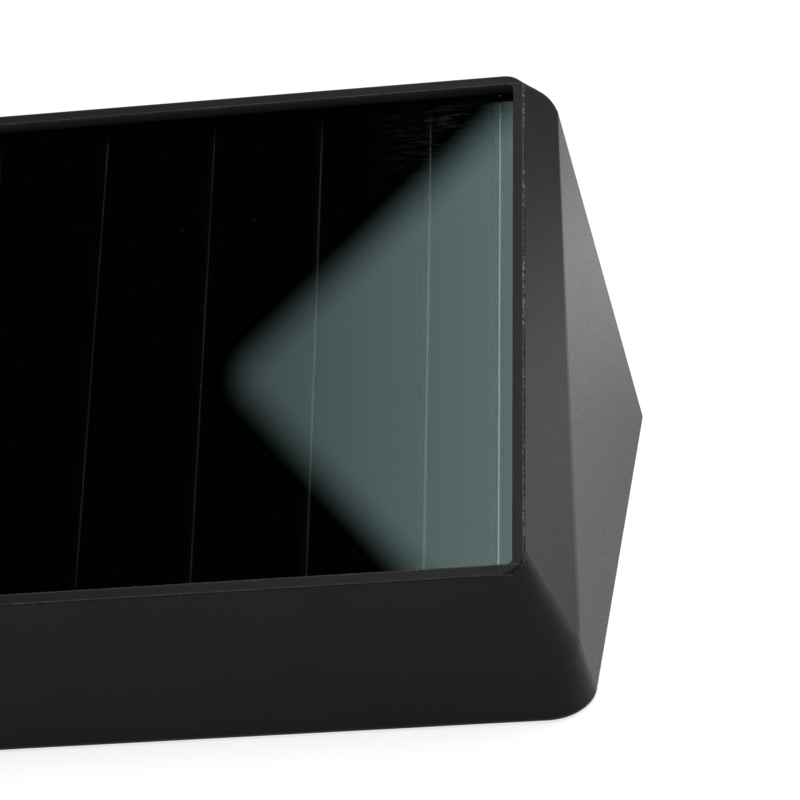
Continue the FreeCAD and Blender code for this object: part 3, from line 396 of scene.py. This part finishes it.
for finish_name, finish_colour, finish_rough, finish_metallic, owners in PLAIN_FINISHES:
    assign(plain(finish_name, finish_colour, finish_rough, finish_metallic), *owners)


# ---------------------------------------------------------------- lens
def frosted_lens():
    """Frosted plastic that lets some light through."""
    made, tree = material("frosted_lens")
    frost = tree.noise(7000.0, 2.0, 0.6)
    cloud = tree.spread(tree.noise(120.0, 2.0), 0.3, 0.7)
    colour = tree.mix(cloud, colour_of(0.80, 0.81, 0.81), colour_of(0.87, 0.88, 0.88))
    shader = principled(tree, colour, tree.spread(frost, 0.3, 0.7, 0.42, 0.58),
                        tree.bump(frost, FINE_DEPTH, 0.5))
    shader.inputs["Transmission Weight"].default_value = 0.35
    shader.inputs["IOR"].default_value = 1.58
    tree.surface(shader)
    return made


assign(frosted_lens(), "diffuser")

# ---------------------------------------------------------------- solar panel
GLASS_CLEAR = colour_of(0.9, 0.93, 0.93)
GLASS_BLACK = colour_of(0.012, 0.012, 0.014)
GLASS_GLOSS = colour_of(0.68, 1.0, 0.985)
HAZE_COLOUR = colour_of(0.55, 0.6, 0.6)
BORDER_COLOUR = colour_of(0.10, 0.10, 0.09)
LAST_LINE_COLOUR = colour_of(0.45, 0.5, 0.46)
STREAK_AMOUNT = 0.032
SPECK_AMOUNT = 0.03


def backing_material():
    """The glazed back of the cells, a pale line where the film is scribed away, palest at the ends."""
    made, tree = material("backing_brown")
    tone = tree.spread(tree.noise(60.0, 3.0), 0.3, 0.7)
    colour = tree.mix(tone, colour_of(0.05, 0.038, 0.027), colour_of(0.07, 0.053, 0.038))
    last_line = tree.spread(tree.side(), GLASS_HALF - 2.1 * MM, GLASS_HALF - 2.0 * MM)
    colour = tree.mix(last_line, colour, LAST_LINE_COLOUR)
    shader = principled(tree, colour, tree.spread(tone, 0.0, 1.0, 0.05, 0.09))
    shader.inputs["Specular IOR Level"].default_value = 1.0
    tree.surface(shader)
    return made


def film_material():
    """The dark thin film, faintly cloudy, with a thin border line along its front and rear."""
    made, tree = material("thin_film")
    cloud = tree.spread(tree.noise(90.0, 2.0), 0.35, 0.65)
    colour = tree.mix(cloud, colour_of(0.0004, 0.0005, 0.0008), colour_of(0.0012, 0.0010, 0.0014))
    up = tree.up()
    reach = RIM_WIDTH / 2.0 - BORDER_LINE
    within, inner = (tree.band(up, -RIM_WIDTH / 2.0, reach + shift, 0.02 * MM)
                     for shift in (BORDER_LINE_WIDTH / 2.0, -BORDER_LINE_WIDTH / 2.0))
    border = tree.math("SUBTRACT", within, inner, clamp=True)
    near_end = tree.spread(tree.side(), GLASS_HALF - 14.0 * MM, GLASS_HALF - 2.0 * MM, 0.12, 0.7)
    colour = tree.mix(tree.times(border, near_end), colour, BORDER_COLOUR)
    shader = principled(tree, colour, tree.spread(cloud, 0.0, 1.0, 0.25, 0.4))
    shader.inputs["Specular IOR Level"].default_value = 0.02
    tree.surface(shader)
    return made


def wiping_streaks(tree, up):
    """Short faint streaks along the panel's length, near the rear of its right end."""
    right = tree.axes()["X"]
    near_end = tree.times(tree.spread(right, GLASS_HALF - 13.0 * MM, GLASS_HALF - 7.0 * MM),
                          tree.spread(right, GLASS_HALF - 2.0 * MM, GLASS_HALF - 0.5 * MM, 1.0, 0.3))
    near_rear = tree.times(tree.spread(up, -14.0 * MM, -5.0 * MM),
                           tree.spread(up, -3.2 * MM, -1.5 * MM, 1.0, 0.3))
    stretched = tree.add("ShaderNodeCombineXYZ", {"X": tree.times(right, 420.0),
                                                  "Y": tree.times(up, 3200.0)})
    lines = tree.spread(tree.noise(1.0, 3.0, 0.65, stretched.outputs[0]), 0.5, 0.66)
    return tree.times(near_end, near_rear, lines)


def glass_material():
    """The cover glass: clear over the scribe lines, black where only the film lies under it."""
    made, tree = material("panel_glass")
    side = tree.side()
    up = tree.up()
    to_line = tree.math("PINGPONG", side, CELL_PITCH / 2.0)
    to_last = tree.math("ABSOLUTE", tree.math("SUBTRACT", side, GLASS_HALF - EDGE_STRIP))
    over_line = tree.spread(tree.math("MINIMUM", to_line, to_last), 0.35 * MM, 0.5 * MM, 1.0, 0.0)
    over_border = tree.band(up, -BORDER_LINE, 0.25 * MM, 0.15 * MM)
    seen = tree.mix(tree.most(over_line, over_border), GLASS_BLACK, GLASS_CLEAR)
    clear = tree.add("ShaderNodeBsdfTransparent", {"Color": seen})
    gloss = tree.add("ShaderNodeBsdfGlossy", {"Color": GLASS_GLOSS, "Roughness": 0.0})
    fresnel = tree.add("ShaderNodeFresnel", {"IOR": 1.5})
    front_face = tree.spread(tree.level(), -PANEL_RECESS - 0.3 * MM, -PANEL_RECESS - 0.1 * MM)
    glazed = tree.blend(tree.times(fresnel.outputs[0], front_face), clear, gloss)

    streaks = tree.times(wiping_streaks(tree, up), STREAK_AMOUNT)
    specks = tree.times(tree.spread(tree.noise(1500.0, 1.0, 0.5), 0.79, 0.82), SPECK_AMOUNT)
    residue = tree.times(tree.math("ADD", streaks, specks), front_face)
    haze = tree.add("ShaderNodeBsdfDiffuse", {"Color": HAZE_COLOUR})
    tree.surface(tree.blend(residue, glazed, haze))
    return made


assign(backing_material(), "cell_backing")
assign(film_material(), "solar_cells")
assign(glass_material(), "solar_glass")


# ---------------------------------------------------------------- return spring
def return_spring():
    """The button's return spring, a copy of the CAD spring in the CAD spring's place, on the lamp's body.
    """
    coil = bpy.data.objects.new("button_return_spring", nodes["switch_spring"].data.copy())
    scene.collection.objects.link(coil)
    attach(coil, "lamp")
    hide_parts("switch_spring")
    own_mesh(coil)


return_spring()

# ---------------------------------------------------------------- studio
# The floor, with an opening a little smaller than the base, through which the underside shows
FLOOR_REACH = 3.0
FLOOR_GAP = 0.02 * MM
OPENING_INSET = 1.5 * MM
OPENING_REAR_HALF = HALF_LENGTH - OPENING_INSET
OPENING_FRONT_HALF = OPENING_REAR_HALF - 2.8 * MM
FLOOR_GLOW = 0.78

# What the housing mirrors of the floor: brighter at first with distance, then nothing
POOL_NEAR = 0.72
POOL_FAR = 1.75
POOL_RISE = 0.045
POOL_FADE = (0.04, 0.13)

# A square lamp overhead. One corner of it is mirrored in the panel, and it is dimmer towards that.
SOFTBOX_RADIANCE = 3.75
SOFTBOX_HEIGHT = 0.60
SOFTBOX_SIDE = 0.50
SOFTBOX_CORNER = (-0.0922, 0.0197)
SOFTBOX_TURN = math.radians(-5.1)
SOFTBOX_EDGE = 0.0145
CORNER_DIMMING = 0.42
CORNER_REACH = 0.083


def staged(name, points, faces, finish):
    """A sheet of the studio, which isn't part of the object."""
    mesh = bpy.data.meshes.new(name)
    mesh.from_pydata(points, [], faces)
    mesh.materials.append(finish)
    piece = bpy.data.objects.new(name, mesh)
    scene.collection.objects.link(piece)
    return piece


def floor_material():
    """White to the camera, grey as a lit surface, and a fading pool of light to what mirrors it."""
    made, tree = material("floor_white")
    axes = tree.axes()
    beside = tree.beyond(axes["X"], HALF_LENGTH)
    before = tree.beyond(tree.math("ADD", axes["Y"], HALF_DEPTH), HALF_DEPTH)
    away = tree.distance(beside, before)
    pool = tree.times(tree.spread(away, 0.0, POOL_RISE, POOL_NEAR, POOL_FAR),
                      tree.spread(away, *POOL_FADE, 1.0, 0.0))
    path = tree.add("ShaderNodeLightPath").outputs
    white = tree.math("ADD", path["Is Camera Ray"], path["Is Transmission Ray"], clamp=True)
    strength = tree.most(tree.times(white, FLOOR_GLOW), tree.times(path["Is Glossy Ray"], pool))
    glow = tree.add("ShaderNodeEmission", {"Color": grey(1.0), "Strength": strength})
    diffuse = tree.add("ShaderNodeBsdfDiffuse", {"Color": grey(0.5)})
    total = tree.add("ShaderNodeAddShader")
    tree.put(total.inputs[0], diffuse)
    tree.put(total.inputs[1], glow)
    tree.surface(total)
    return made


def floor():
    """A white floor at the base that keeps the object's shadow, open where the base covers it."""
    outside = [(-FLOOR_REACH, -FLOOR_REACH), (FLOOR_REACH, -FLOOR_REACH),
               (FLOOR_REACH, FLOOR_REACH), (-FLOOR_REACH, FLOOR_REACH)]
    front = -2.0 * HALF_DEPTH + OPENING_INSET
    rear = -OPENING_INSET
    opening = [(-OPENING_FRONT_HALF, front), (OPENING_FRONT_HALF, front),
               (OPENING_REAR_HALF, rear), (-OPENING_REAR_HALF, rear)]
    points = [(x, y, BASE_HEIGHT - FLOOR_GAP) for x, y in outside + opening]
    faces = [(corner, (corner + 1) % 4, (corner + 1) % 4 + 4, corner + 4) for corner in range(4)]
    staged("floor", points, faces, floor_material())


def world():
    """Dark overhead, pale towards the horizon and pale below the floor."""
    made = bpy.data.worlds.new("studio")
    scene.world = made
    tree = Tree(made)
    direction = tree.add("ShaderNodeTexCoord").outputs["Generated"]
    height = tree.add("ShaderNodeSeparateXYZ", {"Vector": direction}).outputs["Z"]
    overhead = tree.spread(height, 0.0, 0.4, 0.06, 0.012)
    below = tree.spread(height, -0.35, -0.15, 0.7, 0.0)
    strength = tree.math("ADD", overhead, below)
    background = tree.add("ShaderNodeBackground", {"Color": grey(1.0), "Strength": strength})
    out = tree.add("ShaderNodeOutputWorld")
    tree.tree.links.new(background.outputs[0], out.inputs["Surface"])


def softbox_material(reach, half):
    """Even light with soft edges, dimmer towards the mirrored corner."""
    made, tree = material("softbox_cloth")
    axes = tree.axes()
    full = half - SOFTBOX_EDGE
    away = tree.distance(tree.beyond(axes["X"], full), tree.beyond(axes["Y"], full))
    fall = tree.spread(away, 0.0, SOFTBOX_EDGE, SOFTBOX_RADIANCE, 0.0, "SMOOTHSTEP")
    diagonal = tree.times(tree.math("SUBTRACT", axes["X"], axes["Y"]), math.sqrt(0.5))
    ramp = tree.spread(diagonal, -reach, -reach + CORNER_REACH, CORNER_DIMMING, 1.0)
    strength = tree.times(fall, ramp)
    tree.surface(tree.add("ShaderNodeEmission", {"Color": grey(1.0), "Strength": strength}))
    return made


def softbox():
    """The lamp's lit face, unseen by the camera."""
    reach = SOFTBOX_SIDE / math.sqrt(2.0)
    half = (SOFTBOX_SIDE + SOFTBOX_EDGE) / 2.0
    points = [(-half, -half, 0.0), (-half, half, 0.0), (half, half, 0.0), (half, -half, 0.0)]
    lamp = staged("softbox", points, [(0, 1, 2, 3)], softbox_material(reach, half))
    lamp.location = (SOFTBOX_CORNER[0] + reach * math.cos(SOFTBOX_TURN),
                     SOFTBOX_CORNER[1] + reach * math.sin(SOFTBOX_TURN), SOFTBOX_HEIGHT)
    lamp.rotation_euler = (0.0, 0.0, SOFTBOX_TURN + math.pi / 4.0)
    lamp.visible_camera = False


floor()
world()
softbox()

scene.view_settings.view_transform = "Standard"
